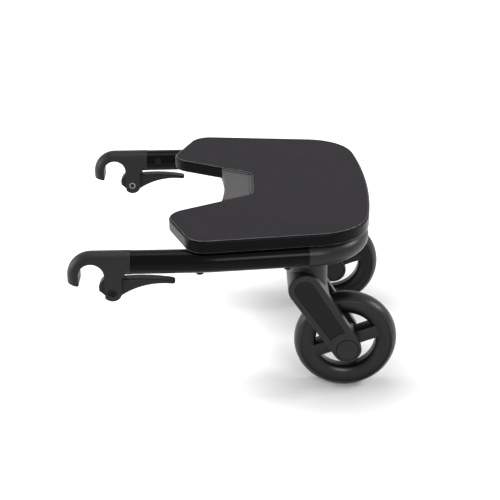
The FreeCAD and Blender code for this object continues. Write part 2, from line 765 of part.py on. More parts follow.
def rear_chassis():
    body = new_body("rear_chassis")
    path = new_sketch(body, "XY_Plane")
    run_of_edges(path, (
        ("chassis_seam", "-tube_rear_half"),
        ("bow_turn_x", "-bow_turn_half", "bow_corner_radius", 1),
        ("bow_x", "-bow_straight_half"),
        ("bow_x", "bow_straight_half", "bow_corner_radius", 1),
        ("bow_turn_x", "bow_turn_half"),
        ("chassis_seam", "tube_rear_half"),
    ), closed=False)
    doc.recompute()
    section = body.newObject("Sketcher::SketchObject", "Sketch")
    section.AttachmentSupport = [(path, "Edge1")]
    section.MapMode = "NormalToEdge"
    circle(section, "tube_radius")
    bow = body.newObject("PartDesign::AdditivePipe", "Pipe")
    bow.Profile = section
    bow.Spine = (path, [])
    doc.recompute()
    # Web under the deck, out to the bow's centre line
    web = new_sketch(body, "XY_Plane", out="web_under")
    half_web = (
        ("web_front", "web_half"),
        ("chassis_seam + tube_wall", "web_half"),
        ("bow_turn_x", "bow_turn_half"),
        ("bow_x - bow_corner_radius * (1 - cos(45))", "bow_straight_half + bow_corner_radius * sin(45)"),
        ("bow_x", "bow_straight_half"),
    )
    run_of_edges(web, [*half_web, *((x, f"-({y})") for x, y in reversed(half_web))])
    pad(body, web, "web_thick")
    # Ribs under the web: one across, two lengthwise
    rib = new_sketch(body, "XY_Plane", out="-rib_drop")
    rectangle(rib, "bow_turn_x - rib_thick / 2", "bow_turn_x + rib_thick / 2", "-bow_turn_half",
              "bow_turn_half")
    pad(body, rib, "rib_drop + tube_radius")
    for side in ("-", ""):
        rib = new_sketch(body, "XY_Plane", up=f"{side}caster_half", out="-rib_drop")
        rectangle(rib, "web_front", "bow_x - tube_radius", "-rib_thick / 2", "rib_thick / 2")
        pad(body, rib, "rib_drop + tube_radius")
    # Swivel sockets
    for side in ("-", ""):
        socket = new_sketch(body, "XY_Plane", "swivel_x", f"{side}caster_half", "-socket_drop")
        circle(socket, "socket_diameter / 2")
        pad(body, socket, "socket_drop + tube_radius")
    # Saddles for the tubes, and spigots that enter them
    for side, lean in (("-", "tube_bend_angle"), ("", "-tube_bend_angle")):
        seam = (f"{side}tube_rear_half", "0", "chassis_seam", lean, Vector(0, 1, 0))
        saddle = new_sketch(body, "YZ_Plane", *seam)
        circle(saddle, "tube_radius + fit_gap")
        pocket(body, saddle, "web_reach + tube_diameter")
        spigot = new_sketch(body, "YZ_Plane", *seam)
        circle(spigot, "spigot_radius")
        pad(body, spigot, "chassis_spigot_length", reverse=True)
        x, half = DECK_SCREWS[-1]
        hole = new_sketch(body, "XY_Plane", x, f"{side}({half})")
        circle(hole, "deck_screw_diameter / 2 + fit_gap")
        pocket(body, hole, "tube_diameter", both=True)
    for side in ("-", ""):
        bore = new_sketch(body, "XY_Plane", "swivel_x", f"{side}caster_half", "-socket_drop")
        circle(bore, "bush_radius + fit_gap")
        pocket(body, bore, "socket_drop + tube_radius", reverse=True)
        room = new_sketch(body, "XY_Plane", "swivel_x", f"{side}caster_half",
                          "tube_radius - clip_pocket_depth")
        circle(room, "clip_pocket_diameter / 2")
        pocket(body, room, "clip_pocket_depth", reverse=True)
    for side in ("-", ""):
        for x, half in WEB_SCREWS:
            hole = new_sketch(body, "XY_Plane", x, f"{side}({half})")
            circle(hole, "web_screw_diameter / 2 + fit_gap")
            pocket(body, hole, "tube_diameter", both=True)
    return place(body, z="tube_height")


def swivel_bushes():
    """Two flanged bushes: the lower flange carries the board on the fork's crown."""
    bore = "kingpin_radius + running_gap"
    corners = ((bore, "-bush_flange"), ("bush_flange_diameter / 2", "-bush_flange"),
               ("bush_flange_diameter / 2", "0"), ("bush_radius", "0"),
               ("bush_radius", "bush_length"), (bore, "bush_length"))
    lower = turned("lower_bush", corners, x="swivel_x", y="-caster_half", z="tube_height - socket_drop")
    upper = turned("upper_bush", corners, x="swivel_x", y="-caster_half",
                   z="deck_bottom - clip_pocket_depth", turn="180")
    return group("left_swivel_bushes", [lower, upper])


def deck_outline(inset):
    half = [(f"{x} {along} * ({inset})", f"{y} {across} * ({inset})") for x, y, along, across, *_
            in DECK_CORNER_SHARES]
    corners = [(x, f"-({y})") for x, y in half]
    corners += [(x, y) for x, y in reversed(half)]
    last_x, last_y = corners[-1]
    bow = f"(deck_rear - ({inset}) - ({last_x}))"
    corners[-1] = (last_x, last_y, f"(({last_y}) ^ 2 + {bow} ^ 2) / (2 * {bow})", -1)
    return corners


def deck_slab(body, inset, low, thick):
    """Slab with the deck's outline, drawn in by the inset and rounded at its corners."""
    outline = new_sketch(body, "XY_Plane", out=low)
    run_of_edges(outline, deck_outline(inset))
    pad(body, outline, thick)
    for x, y, along, across, radius, sign in DECK_CORNER_SHARES:
        corner_x = value(f"{x} {along} * ({inset})")
        corner_y = value(f"{y} {across} * ({inset})")
        round_edges(body, f"{radius} {sign} ({inset})", lambda edge: upright(edge, corner_x, corner_y)
                    or upright(edge, corner_x, -corner_y))


def deck_board():
    board = new_body("deck_blank")
    deck_slab(board, "0", "0", "deck_thick")
    round_edges(board, "deck_top_round", lambda edge: level(edge, value("deck_thick")))
    round_edges(board, "deck_bottom_round", lambda edge: level(edge, 0))
    for x, half, kind, bite in deck_holes():
        for side in ("-", ""):
            hole = new_sketch(board, "XY_Plane", x, f"{side}({half})")
            circle(hole, f"{kind}_diameter / 2 + fit_gap")
            pocket(board, hole, f"{bite} + fit_gap", reverse=True)
    recess = new_body("grip_recess")
    deck_slab(recess, "grip_inset", "deck_thick - grip_depth", "deck_thick")
    deck = doc.addObject("Part::Cut", "deck_board")
    deck.Label = "deck_board"
    deck.Base = board
    deck.Tool = recess
    doc.recompute()
    return place(deck, z="deck_bottom")


def deck_holes():
    """Place, screw kind and depth of each screw hole in the deck's underside."""
    holes = [(x, half, "deck_screw", "deck_screw_bite") for x, half in DECK_SCREWS]
    holes += [(x, half, "web_screw", "web_screw_bite") for x, half in WEB_SCREWS]
    holes += [(x, half, "plate_screw", "plate_screw_bite") for x, half in PLATE_SCREWS]
    return holes


def grip_pad():
    body = new_body("deck_grip_pad")
    deck_slab(body, "grip_inset + face_gap", "0", "grip_thick")
    round_edges(body, "grip_round", lambda edge: level(edge, value("grip_thick")))
    return place(body, z="deck_bottom + deck_thick - grip_depth")


def notch_shape(front, margin):
    """The end of the deck's notch, from a front line back, drawn in by a margin."""
    slant = "(1 + notch_slope)"
    return ((f"{front}", f"-(notch_half + (notch_end - ({front})) * notch_slope - ({margin}) * {slant})"),
            (f"notch_end - ({margin})", f"-(notch_half - ({margin}))"),
            (f"notch_end - ({margin})", f"notch_half - ({margin})"),
            (f"{front}", f"notch_half + (notch_end - ({front})) * notch_slope - ({margin}) * {slant}"))


def notch_plate():
    body = new_body("notch_plate")
    for margin, low, thick in (("plate_gap", "-plate_flange_thick", "plate_top + plate_flange_thick"),
                               ("-plate_flange", "-plate_flange_thick", "plate_flange_thick")):
        shape = new_sketch(body, "XY_Plane", out=low)
        corners = notch_shape("plate_front", margin)
        run_of_edges(shape, corners)
        pad(body, shape, thick)
        end_x = value(corners[1][0])
        end_y = value(corners[1][1])
        round_edges(body, f"notch_radius - ({margin})", lambda edge: upright(edge, end_x, end_y)
                    or upright(edge, end_x, -end_y))
    # Hollow front edge
    hollow_radius = "((plate_front_half + plate_flange) ^ 2 + plate_sag ^ 2) / (2 * plate_sag)"
    hollow = new_sketch(body, "XY_Plane")
    circle(hollow, hollow_radius, f"plate_front + plate_sag - ({hollow_radius})", "0")
    pocket(body, hollow, "(deck_thick + overrun) * 2", both=True)
    # Field inside the rim
    field = new_sketch(body, "XY_Plane", out="plate_top - plate_rim_height")
    run_of_edges(field, notch_shape("plate_front - overrun", "plate_gap + plate_rim"))
    pocket(body, field, "plate_rim_height + overrun", reverse=True)
    for x, half in PLATE_SCREWS:
        for side in ("-", ""):
            hole = new_sketch(body, "XY_Plane", x, f"{side}({half})")
            circle(hole, "plate_screw_diameter / 2 + fit_gap")
            pocket(body, hole, "plate_flange_thick + overrun")
    return place(body, z="deck_bottom")


def screw_group(label, kind, spots, seat, length):
    """Screws driven upward on both sides of the board."""
    screws = []
    for x, half in spots:
        for side in ("-", ""):
            name = f"{kind}_{len(screws) + 1}"
            screws.append(screw(name, kind, length, x=x, y=f"{side}({half})", z=seat, turn="180"))
    return group(label, screws)


def fork():
    body = new_body("left_fork")
    # Barrel and axle boss, with the leg as a belt round both
    leg = new_sketch(body, "XZ_Plane", turn="leg_lean")
    boss = ("axle_boss_radius * leg_taper_share", "axle_boss_radius * leg_taper")
    barrel = ("barrel_radius * leg_taper_share", "leg_length + barrel_radius * leg_taper")
    run_of_edges(leg, (
        (f"-{boss[0]}", boss[1], "axle_boss_radius", 1),
        ("0", "-axle_boss_radius", "axle_boss_radius", 1),
        boss,
        (*barrel, "barrel_radius", 1),
        ("0", "leg_length + barrel_radius", "barrel_radius", 1),
        (f"-{barrel[0]}", barrel[1]),
    ))
    pad(body, leg, "fork_width", both=True)
    crown = new_sketch(body, "XY_Plane", across="-caster_trail", out="fork_rise - crown_skirt")
    circle(crown, "crown_diameter / 2")
    pad(body, crown, "crown_rise - fork_rise + crown_skirt")
    wheel = new_sketch(body, "XZ_Plane")
    circle(wheel, "wheel_room")
    pocket(body, wheel, "fork_gap", both=True)
    outer = value("fork_half")
    round_edges(body, "fork_edge_round", lambda edge: level(edge, outer, "y") or level(edge, -outer, "y"))
    axle = new_sketch(body, "XZ_Plane")
    circle(axle, "axle_radius + fit_gap")
    pocket(body, axle, "fork_width + overrun", both=True)
    for out, turn_out in (("axle_half", True), ("-axle_half", False)):
        recess = new_sketch(body, "XZ_Plane", out=out)
        circle(recess, "cap_diameter / 2 + cap_gap")
        pocket(body, recess, "cap_recess + overrun", reverse=turn_out)
    for out, turn_out in (("fork_half - inlay_depth", True), ("inlay_depth - fork_half", False)):
        recess = new_sketch(body, "XZ_Plane", out=out, turn="leg_lean")
        inlay_outline(recess, "0")
        pocket(body, recess, "inlay_depth + overrun", reverse=turn_out)
    pin = new_sketch(body, "XY_Plane", across="-caster_trail", out="crown_rise - kingpin_depth")
    circle(pin, "kingpin_radius + fit_gap")
    pocket(body, pin, "kingpin_depth + overrun", reverse=True)
    return place(body, "wheel_x", "-caster_half", "axle_height")


def inlay_outline(sketch, inset):
    """Panel on the leg, drawn in by the inset: round at the top, hollow round the axle at its foot."""
    half = f"inlay_width / 2 - {inset}"
    foot_half = f"inlay_foot_width / 2 - {inset}"
    end_radius = f"inlay_end_radius + {inset}"
    foot = f"sqrt(({end_radius}) ^ 2 - ({foot_half}) ^ 2)"
    run_of_edges(sketch, (
        (f"-({foot_half})", foot, end_radius, -1),
        (foot_half, foot),
        (half, "leg_length", half, 1),
        ("0", f"leg_length + {half}", half, 1),
        (f"-({half})", "leg_length"),
    ))


def fork_inlays():
    panels = []
    for out in ("fork_half - inlay_depth", "inlay_depth - fork_half - inlay_thick"):
        body = new_body(f"inlay_{len(panels) + 1}")
        shape = new_sketch(body, "XZ_Plane", out=out, turn="leg_lean")
        inlay_outline(shape, "face_gap")
        pad(body, shape, "inlay_thick")
        panels.append(place(body, "wheel_x", "-caster_half", "axle_height"))
    return group("left_fork_inlays", panels)


def kingpin():
    rise = "socket_drop + bush_flange + tube_radius - clip_pocket_depth"
    groove_low = f"{rise} + bush_flange + axial_play"
    groove_high = f"{groove_low} + clip_thick"
    neck = "kingpin_radius - clip_groove"
    return turned("left_kingpin", (
        ("0", "-kingpin_depth"),
        ("kingpin_radius", "-kingpin_depth"),
        ("kingpin_radius", groove_low),
        (neck, groove_low),
        (neck, groove_high),
        ("kingpin_radius", groove_high),
        ("kingpin_radius", f"{groove_high} + kingpin_tail"),
        ("0", f"{groove_high} + kingpin_tail"),
    ), x="swivel_x", y="-caster_half", z="crown_top")


def kingpin_clip():
    return ring("left_kingpin_clip", "kingpin_radius - clip_groove + fit_gap", "clip_diameter / 2", "0",
                "clip_thick", x="swivel_x", y="-caster_half",
                z="deck_bottom - clip_pocket_depth + bush_flange + axial_play")


def axle():
    return turned("left_axle", (
        ("0", "-axle_half"),
        ("axle_radius", "-axle_half"),
        ("axle_radius", "axle_half"),
        ("0", "axle_half"),
    ), x="wheel_x", y="-caster_half", z="axle_height", turn="90")


def axle_caps():
    radius = "cap_diameter / 2"
    top = "cap_recess + cap_crown"
    corners = (("0", "0"), (radius, "0"), (radius, f"{top} - cap_chamfer"), (f"{radius} - cap_chamfer", top),
               ("0", top))
    outer = turned("outer_cap", corners, x="wheel_x", y="-caster_half - axle_half", z="axle_height",
                   turn="90")
    inner = turned("inner_cap", corners, x="wheel_x", y="axle_half - caster_half", z="axle_height",
                   turn="-90")
    return group("left_axle_caps", [outer, inner])


def wheel_washers():
    ends = ("axle_radius + fit_gap", "washer_diameter / 2", "0", "washer_thick")
    out = "fork_gap / 2 - washer_thick"
    outer = ring("outer_washer", *ends, x="wheel_x", y=f"-caster_half - ({out})", z="axle_height", turn="90")
    inner = ring("inner_washer", *ends, x="wheel_x", y=f"{out} - caster_half", z="axle_height", turn="-90")
    return group("left_wheel_washers", [outer, inner])


def wheel_bushes():
    ends = ("axle_radius + running_gap", "wheel_bush_diameter / 2", "-wheel_bush_length", "0")
    outer = ring("outer_bush", *ends, x="wheel_x", y="-caster_half - hub_half", z="axle_height", turn="90")
    inner = ring("inner_bush", *ends, x="wheel_x", y="hub_half - caster_half", z="axle_height", turn="-90")
    return group("left_wheel_bushes", [outer, inner])


def rim():
    body = new_body("left_rim")
    half = "rim_width / 2"
    inside = f"{half} - rim_lip_thick"
    section = new_sketch(body, "YZ_Plane")
    run_of_edges(section, (
        (f"-{half}", "rim_bore_diameter / 2"),
        (half, "rim_bore_diameter / 2"),
        (half, "rim_lip_radius"),
        (inside, "rim_lip_radius"),
        (inside, "rim_seat_radius"),
        (f"-({inside})", "rim_seat_radius"),
        (f"-({inside})", "rim_lip_radius"),
        (f"-{half}", "rim_lip_radius"),
    ))
    revolve(body, section, "H_Axis")
    mouth = value("rim_bore_diameter / 2")
    round_edges(body, "rim_round", lambda edge: same(edge.BoundBox.XMax, mouth))
    spoke = new_sketch(body, "XZ_Plane", turn="spoke_tilt")
    reach = "(rim_bore_diameter / 2 + rim_seat_radius) / 2"
    rectangle(spoke, f"-{reach}", reach, "-spoke_width / 2", "spoke_width / 2")
    pad(body, spoke, "spoke_depth", both=True)
    hub = new_sketch(body, "XZ_Plane")
    circle(hub, "hub_diameter / 2")
    pad(body, hub, "hub_half * 2", both=True)
    bore = new_sketch(body, "XZ_Plane")
    circle(bore, "wheel_bush_diameter / 2 + fit_gap")
    pocket(body, bore, "hub_half * 2 + overrun", both=True)
    return place(body, "wheel_x", "-caster_half", "axle_height")


def tyre():
    body = new_body("left_tyre")
    half = "tyre_width / 2"
    section = new_sketch(body, "YZ_Plane")
    run_of_edges(section, (
        ("-tyre_foot_half", "rim_seat_radius + fit_gap"),
        ("tyre_foot_half", "rim_seat_radius + fit_gap"),
        ("tyre_foot_half", "tyre_lip_radius"),
        (half, "tyre_lip_radius", "tyre_crown_radius", 1),
        (f"-{half}", "tyre_lip_radius"),
        ("-tyre_foot_half", "tyre_lip_radius"),
    ))
    revolve(body, section, "H_Axis")
    side = value(half)
    round_edges(body, "tyre_edge_round", lambda edge: level(edge, side, "y") or level(edge, -side, "y"))
    return place(body, "wheel_x", "-caster_half", "axle_height")


nodes = {
    "rear_chassis": rear_chassis(),
    "deck_board": deck_board(),
    "deck_grip_pad": grip_pad(),
    "notch_plate": notch_plate(),
    "deck_screws": screw_group("deck_screws", "deck_screw", DECK_SCREWS, "tube_height - tube_radius",
                               "tube_diameter + deck_screw_bite"),
    "chassis_screws": screw_group("chassis_screws", "web_screw", WEB_SCREWS, "tube_height + web_under",
                                  "web_thick + web_screw_bite"),
    "plate_screws": screw_group("plate_screws", "plate_screw", PLATE_SCREWS,
                                "deck_bottom - plate_flange_thick", "plate_flange_thick + plate_screw_bite"),
}
for make in (side_tube, hook, hook_screw, latch_lever, latch_bolt, latch_nut, latch_spring, swivel_bushes,
             fork, fork_inlays, kingpin, kingpin_clip, axle, axle_caps, wheel_washers, wheel_bushes,
             rim, tyre):
    left = make()
    right_label = left.Label.replace("left_", "right_")
    nodes[left.Label] = left
    nodes[right_label] = mirrored(left, right_label)

doc.recompute()
for thing in doc.Objects:
    if {"Invalid", "Error"} & set(thing.State):
        raise RuntimeError(f"{thing.Label} failed: {thing.State}")
os.makedirs("parts", exist_ok=True)
for label, thing in nodes.items():
    if thing.Shape.isNull() or not thing.Shape.isValid():
        raise RuntimeError(f"{label} has no valid shape")
for label, thing in nodes.items():
    thing.Shape.exportStep(f"parts/{label}.step")
print(f"{len(nodes)} sub-parts written")
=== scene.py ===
import json
import math

import bmesh
import bpy
from mathutils import Matrix, Vector


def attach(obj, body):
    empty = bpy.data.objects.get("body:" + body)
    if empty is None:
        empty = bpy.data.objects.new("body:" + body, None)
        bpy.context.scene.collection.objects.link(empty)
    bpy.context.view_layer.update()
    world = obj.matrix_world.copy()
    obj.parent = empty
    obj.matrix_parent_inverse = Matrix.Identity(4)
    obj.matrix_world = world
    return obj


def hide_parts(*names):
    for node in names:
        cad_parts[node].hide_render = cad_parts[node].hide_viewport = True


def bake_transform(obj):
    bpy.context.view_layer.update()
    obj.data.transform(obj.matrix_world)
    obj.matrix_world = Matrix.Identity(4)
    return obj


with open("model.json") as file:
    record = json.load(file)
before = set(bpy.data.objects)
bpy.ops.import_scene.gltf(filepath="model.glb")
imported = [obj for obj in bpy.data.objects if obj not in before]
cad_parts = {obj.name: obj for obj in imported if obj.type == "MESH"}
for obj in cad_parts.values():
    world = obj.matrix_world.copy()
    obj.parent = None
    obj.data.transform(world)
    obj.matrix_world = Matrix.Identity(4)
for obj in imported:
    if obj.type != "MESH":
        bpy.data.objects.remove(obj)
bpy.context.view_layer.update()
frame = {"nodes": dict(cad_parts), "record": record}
record = frame["record"]

mm = 0.001
weldApart = 0.00001  # metres; vertices closer than this become one
sides = (("left", 1), ("right", -1))  # the right side has the left one's y turned over

# Camera, as fitted to the photograph
photoCamera = {
    "place": (0.0016, -1.4496, 0.8097),
    "pitch": 25.0,  # degrees down
    "yaw": 0.63,  # degrees
    "roll": -0.745,  # degrees
    "lens": 88.71,
    "sensor": 36.0,
    "clipStart": 0.05,
}
studio = {
    "floorSize": 40.0,
    "floorColor": (0.8, 0.8, 0.8, 1),
    "floorGlowOverShadow": (0.0, 0.66),  # glow added for camera, mirror and glass rays, painted light that washes out the floor's shadow away from the wheels: at a wheel, further off
    "floorFade": (0.02, 0.22),  # metres from the wheel
    "wheelSpot": (0.15, 0.111),  # x and y near where one wheel stands; the other has -y
    "sky": (0.4, 0.45, 0.5),  # below, at the horizon, overhead
    "aim": (0.0, 0.0, 0.12),  # where the panels point
}
softPanels = {
    "leftPanel": {"place": (-1.4, 0.2, 0.55), "size": (0.7, 0.7), "power": 10.5},
    "rightPanel": {"place": (1.35, 0.0, 0.85), "size": (0.4, 0.4), "power": 10.0},
    "frontPanel": {"place": (0.55, -1.6, 1.0), "size": (0.7, 0.5), "power": 13.0},
    "topPanel": {"place": (0.0, 0.1, 1.4), "size": (0.8, 0.6), "power": 5.0},
}


def feed(tree, socket, value):
    # A number is set, an output is linked
    if isinstance(value, (int, float)):
        socket.default_value = value
    else:
        tree.links.new(value, socket)


def addMaths(tree, operation, *values, clamp=False):
    node = tree.nodes.new("ShaderNodeMath")
    node.operation = operation
    node.use_clamp = clamp
    for socket, value in zip(node.inputs, values):
        feed(tree, socket, value)
    return node.outputs[0]


def setUpCamera(scene):
    pitch, yaw, roll = (math.radians(photoCamera[turn]) for turn in ("pitch", "yaw", "roll"))
    forward = Vector((math.sin(yaw) * math.cos(pitch), math.cos(yaw) * math.cos(pitch), -math.sin(pitch)))
    right = Vector((math.cos(yaw), -math.sin(yaw), 0))
    up = right.cross(forward)
    rolledRight = right * math.cos(roll) + up * math.sin(roll)
    rolledUp = up * math.cos(roll) - right * math.sin(roll)
    data = bpy.data.cameras.new("photoCamera")
    data.lens = photoCamera["lens"]
    data.sensor_width = photoCamera["sensor"]
    data.clip_start = photoCamera["clipStart"]
    camera = bpy.data.objects.new("photoCamera", data)
    scene.collection.objects.link(camera)
    turn = Matrix((rolledRight, rolledUp, -forward)).transposed().to_4x4()
    camera.matrix_world = Matrix.Translation(photoCamera["place"]) @ turn
    scene.camera = camera


def seenDirectly(tree):
    # 1 for camera, mirror and glass rays
    rays = tree.nodes.new("ShaderNodeLightPath").outputs
    seen = addMaths(tree, "MAXIMUM", rays["Is Camera Ray"], rays["Is Glossy Ray"])
    return addMaths(tree, "MAXIMUM", seen, rays["Is Transmission Ray"])


def setUpSky(scene):
    # Brighter overhead, dimmer at the horizon and below; white where it is seen directly
    world = bpy.data.worlds.new("studioSky")
    world.use_nodes = True
    scene.world = world
    tree = world.node_tree
    nodes = tree.nodes
    links = tree.links
    coordinates = nodes.new("ShaderNodeTexCoord")
    split = nodes.new("ShaderNodeSeparateXYZ")
    links.new(coordinates.outputs["Generated"], split.inputs[0])
    rise = nodes.new("ShaderNodeMapRange")
    rise.inputs["From Min"].default_value = -1
    rise.inputs["From Max"].default_value = 1
    links.new(split.outputs["Z"], rise.inputs["Value"])
    ramp = nodes.new("ShaderNodeValToRGB")
    links.new(rise.outputs[0], ramp.inputs[0])
    ramp.color_ramp.elements.new(0.5)
    for element, position, level in zip(ramp.color_ramp.elements, (0.0, 0.5, 1.0), studio["sky"]):
        element.position = position
        element.color = (level, level, level, 1)
    blank = nodes.new("ShaderNodeMix")
    blank.data_type = "RGBA"
    blank.inputs["B"].default_value = (1, 1, 1, 1)
    links.new(seenDirectly(tree), blank.inputs["Factor"])
    links.new(ramp.outputs[0], blank.inputs["A"])
    links.new(blank.outputs["Result"], nodes["Background"].inputs["Color"])


def addPanels(scene):
    for name, panel in softPanels.items():
        lampData = bpy.data.lights.new(name, "AREA")
        lampData.shape = "RECTANGLE"
        lampData.size, lampData.size_y = panel["size"]
        lampData.energy = panel["power"]
        lamp = bpy.data.objects.new(name, lampData)
        lamp.location = panel["place"]
        way = Vector(studio["aim"]) - Vector(panel["place"])
        lamp.rotation_euler = way.to_track_quat("-Z", "Y").to_euler()
        scene.collection.objects.link(lamp)


def addFloor(scene):
    half = studio["floorSize"] / 2
    corners = [(-half, -half, 0), (half, -half, 0), (half, half, 0), (-half, half, 0)]
    mesh = bpy.data.meshes.new("floor")
    mesh.from_pydata(corners, [], [(0, 1, 2, 3)])
    floor = bpy.data.objects.new("floor", mesh)
    scene.collection.objects.link(floor)
    paint = bpy.data.materials.new("floorPaint")
    paint.use_nodes = True
    tree = paint.node_tree
    nodes = tree.nodes
    links = tree.links
    shader = nodes["Principled BSDF"]
    shader.inputs["Base Color"].default_value = studio["floorColor"]
    shader.inputs["Roughness"].default_value = 1
    shader.inputs["Specular IOR Level"].default_value = 0
    # Painted light: the floor's glow grows with the distance from the nearer wheel, so that the shadow stays
    # only there and the deck's shadow is washed out
    x, y = studio["wheelSpot"]
    way = nodes.new("ShaderNodeTexCoord").outputs["Object"]
    for operation, offset in (("SUBTRACT", (x, 0, 0)), ("ABSOLUTE", None), ("SUBTRACT", (0, y, 0))):
        step = nodes.new("ShaderNodeVectorMath")
        step.operation = operation
        links.new(way, step.inputs[0])
        if offset:
            step.inputs[1].default_value = offset
        way = step.outputs["Vector"]
    away = nodes.new("ShaderNodeVectorMath")
    away.operation = "LENGTH"
    links.new(way, away.inputs[0])
    fade = nodes.new("ShaderNodeMapRange")
    fade.interpolation_type = "SMOOTHSTEP"
    fade.inputs["From Min"].default_value, fade.inputs["From Max"].default_value = studio["floorFade"]
    fade.inputs["To Min"].default_value, fade.inputs["To Max"].default_value = studio["floorGlowOverShadow"]
    links.new(away.outputs["Value"], fade.inputs["Value"])
    white = addMaths(tree, "MULTIPLY", seenDirectly(tree), fade.outputs[0])
    shader.inputs["Emission Color"].default_value = (1, 1, 1, 1)
    links.new(white, shader.inputs["Emission Strength"])
    # Clear from below, so that the underside can be looked at
    geometry = nodes.new("ShaderNodeNewGeometry")
    clear = nodes.new("ShaderNodeBsdfTransparent")
    either = nodes.new("ShaderNodeMixShader")
    links.new(geometry.outputs["Backfacing"], either.inputs[0])
    links.new(shader.outputs[0], either.inputs[1])
    links.new(clear.outputs[0], either.inputs[2])
    links.new(either.outputs[0], nodes["Material Output"].inputs["Surface"])
    mesh.materials.append(paint)


def setUpStudio(scene):
    scene.view_settings.view_transform = "Standard"
    setUpSky(scene)
    addPanels(scene)
    addFloor(scene)


setUpCamera(bpy.context.scene)
setUpStudio(bpy.context.scene)
print("camera and studio set")

# Finishes, one for each material slot of the record; edge radius in millimetres; the edge wear is partly
# painted edge highlight
finishes = {
    "tube_paint": {"color": (0.0014, 0.0012, 0.0014), "rough": 0.2, "specular": 0.07, "sheen": 0.2,
                   "grain": 1400, "depth": 0.02, "edge": 0.3, "wearAndHighlight": 0.02},
    "chassis_plastic": {"color": (0.009, 0.0082, 0.0092), "rough": 0.36, "specular": 0.2,
                        "grain": 1100, "depth": 0.08, "edge": 0.8, "wearAndHighlight": 0.04},
    # Painted shade: the deck board's near-black colour stands in for the shade on its sides, which share the
    # top's grey
    "deck_plastic": {"color": (0.0018, 0.0016, 0.0019), "rough": 0.3, "specular": 0.05, "sheen": 0.6,
                     "grain": 1100, "depth": 0.04, "edge": 1.6, "wearAndHighlight": 0.16},
    "grip_pad": {"color": (0.0153, 0.0136, 0.016), "rough": 0.75, "specular": 0.14,
                 "grain": 900, "depth": 0.25, "edge": 0.6, "wearAndHighlight": 0.04},
    "plate_plastic": {"color": (0.063, 0.06, 0.061), "rough": 0.55, "specular": 0.25,
                      "grain": 1100, "depth": 0.1, "edge": 0.5, "wearAndHighlight": 0.06},
    "hook_plastic": {"color": (0.0104, 0.01, 0.0108), "rough": 0.45, "specular": 0.2,
                     "grain": 1000, "depth": 0.12, "edge": 1.0, "wearAndHighlight": 0.05},
    "lever_plastic": {"color": (0.0062, 0.006, 0.0065), "rough": 0.42, "specular": 0.2,
                      "grain": 1100, "depth": 0.08, "edge": 0.6, "wearAndHighlight": 0.05},
    "fork_plastic": {"color": (0.0112, 0.01, 0.0113), "rough": 0.4, "specular": 0.22,
                     "grain": 1100, "depth": 0.08, "edge": 1.0, "wearAndHighlight": 0.12},
    "inlay_plastic": {"color": (0.0036, 0.0031, 0.0037), "rough": 0.4, "specular": 0.14,
                      "grain": 1400, "depth": 0.04, "edge": 0.4, "wearAndHighlight": 0.08},
    "cap_plastic": {"color": (0.0145, 0.0133, 0.0146), "rough": 0.5, "specular": 0.2,
                    "grain": 1200, "depth": 0.06, "edge": 0.5, "wearAndHighlight": 0.06},
    "rim_plastic": {"color": (0.0034, 0.003, 0.0036), "rough": 0.3, "specular": 0.27,
                    "grain": 1100, "depth": 0.03, "edge": 0.6, "wearAndHighlight": 0.02},
    "bush_plastic": {"color": (0.55, 0.55, 0.53), "rough": 0.5, "specular": 0.5,
                     "grain": 1200, "depth": 0.03, "edge": 0.3, "wearAndHighlight": 0.0},
    "tyre_rubber": {"color": (0.0054, 0.0052, 0.0054), "rough": 0.36, "specular": 0.26,
                    "grain": 700, "depth": 0.08, "edge": 1.2, "wearAndHighlight": 0.04},
    "black_steel": {"color": (0.0035, 0.0035, 0.0035), "rough": 0.28, "specular": 0.16,
                    "grain": 1600, "depth": 0.03, "edge": 0.2, "wearAndHighlight": 0.04},
    "bright_steel": {"color": (0.25, 0.25, 0.247), "rough": 0.34, "specular": 0.5, "metal": 1.0,
                     "grain": 1600, "depth": 0.02, "edge": 0.2, "wearAndHighlight": 0.02},
}
mouldedSkin = {
    "edgeSamples": 6,
    "grainDetail": 3,
    "grainHeight": 0.0004,  # metres
    "broad": (22, 3),  # scale and detail of the slow shade changes
    "smudge": (90, 4),  # scale and detail of the wear and gloss changes
    "edgeGain": 6,
    "shade": (0.86, 0.28),  # darkest shade, and how much lighter it gets
    # grey that edges are lightened towards: wear, and painted edge highlight
    "edgeWearAndHighlightColor": (0.6, 0.6, 0.6, 1),
    "glossSpan": 0.1,
    "sheenRough": 0.3,
}


def newSockets(tree, way, sockets):
    for name, kind in sockets:
        tree.interface.new_socket(name=name, in_out=way, socket_type=f"NodeSocket{kind}")


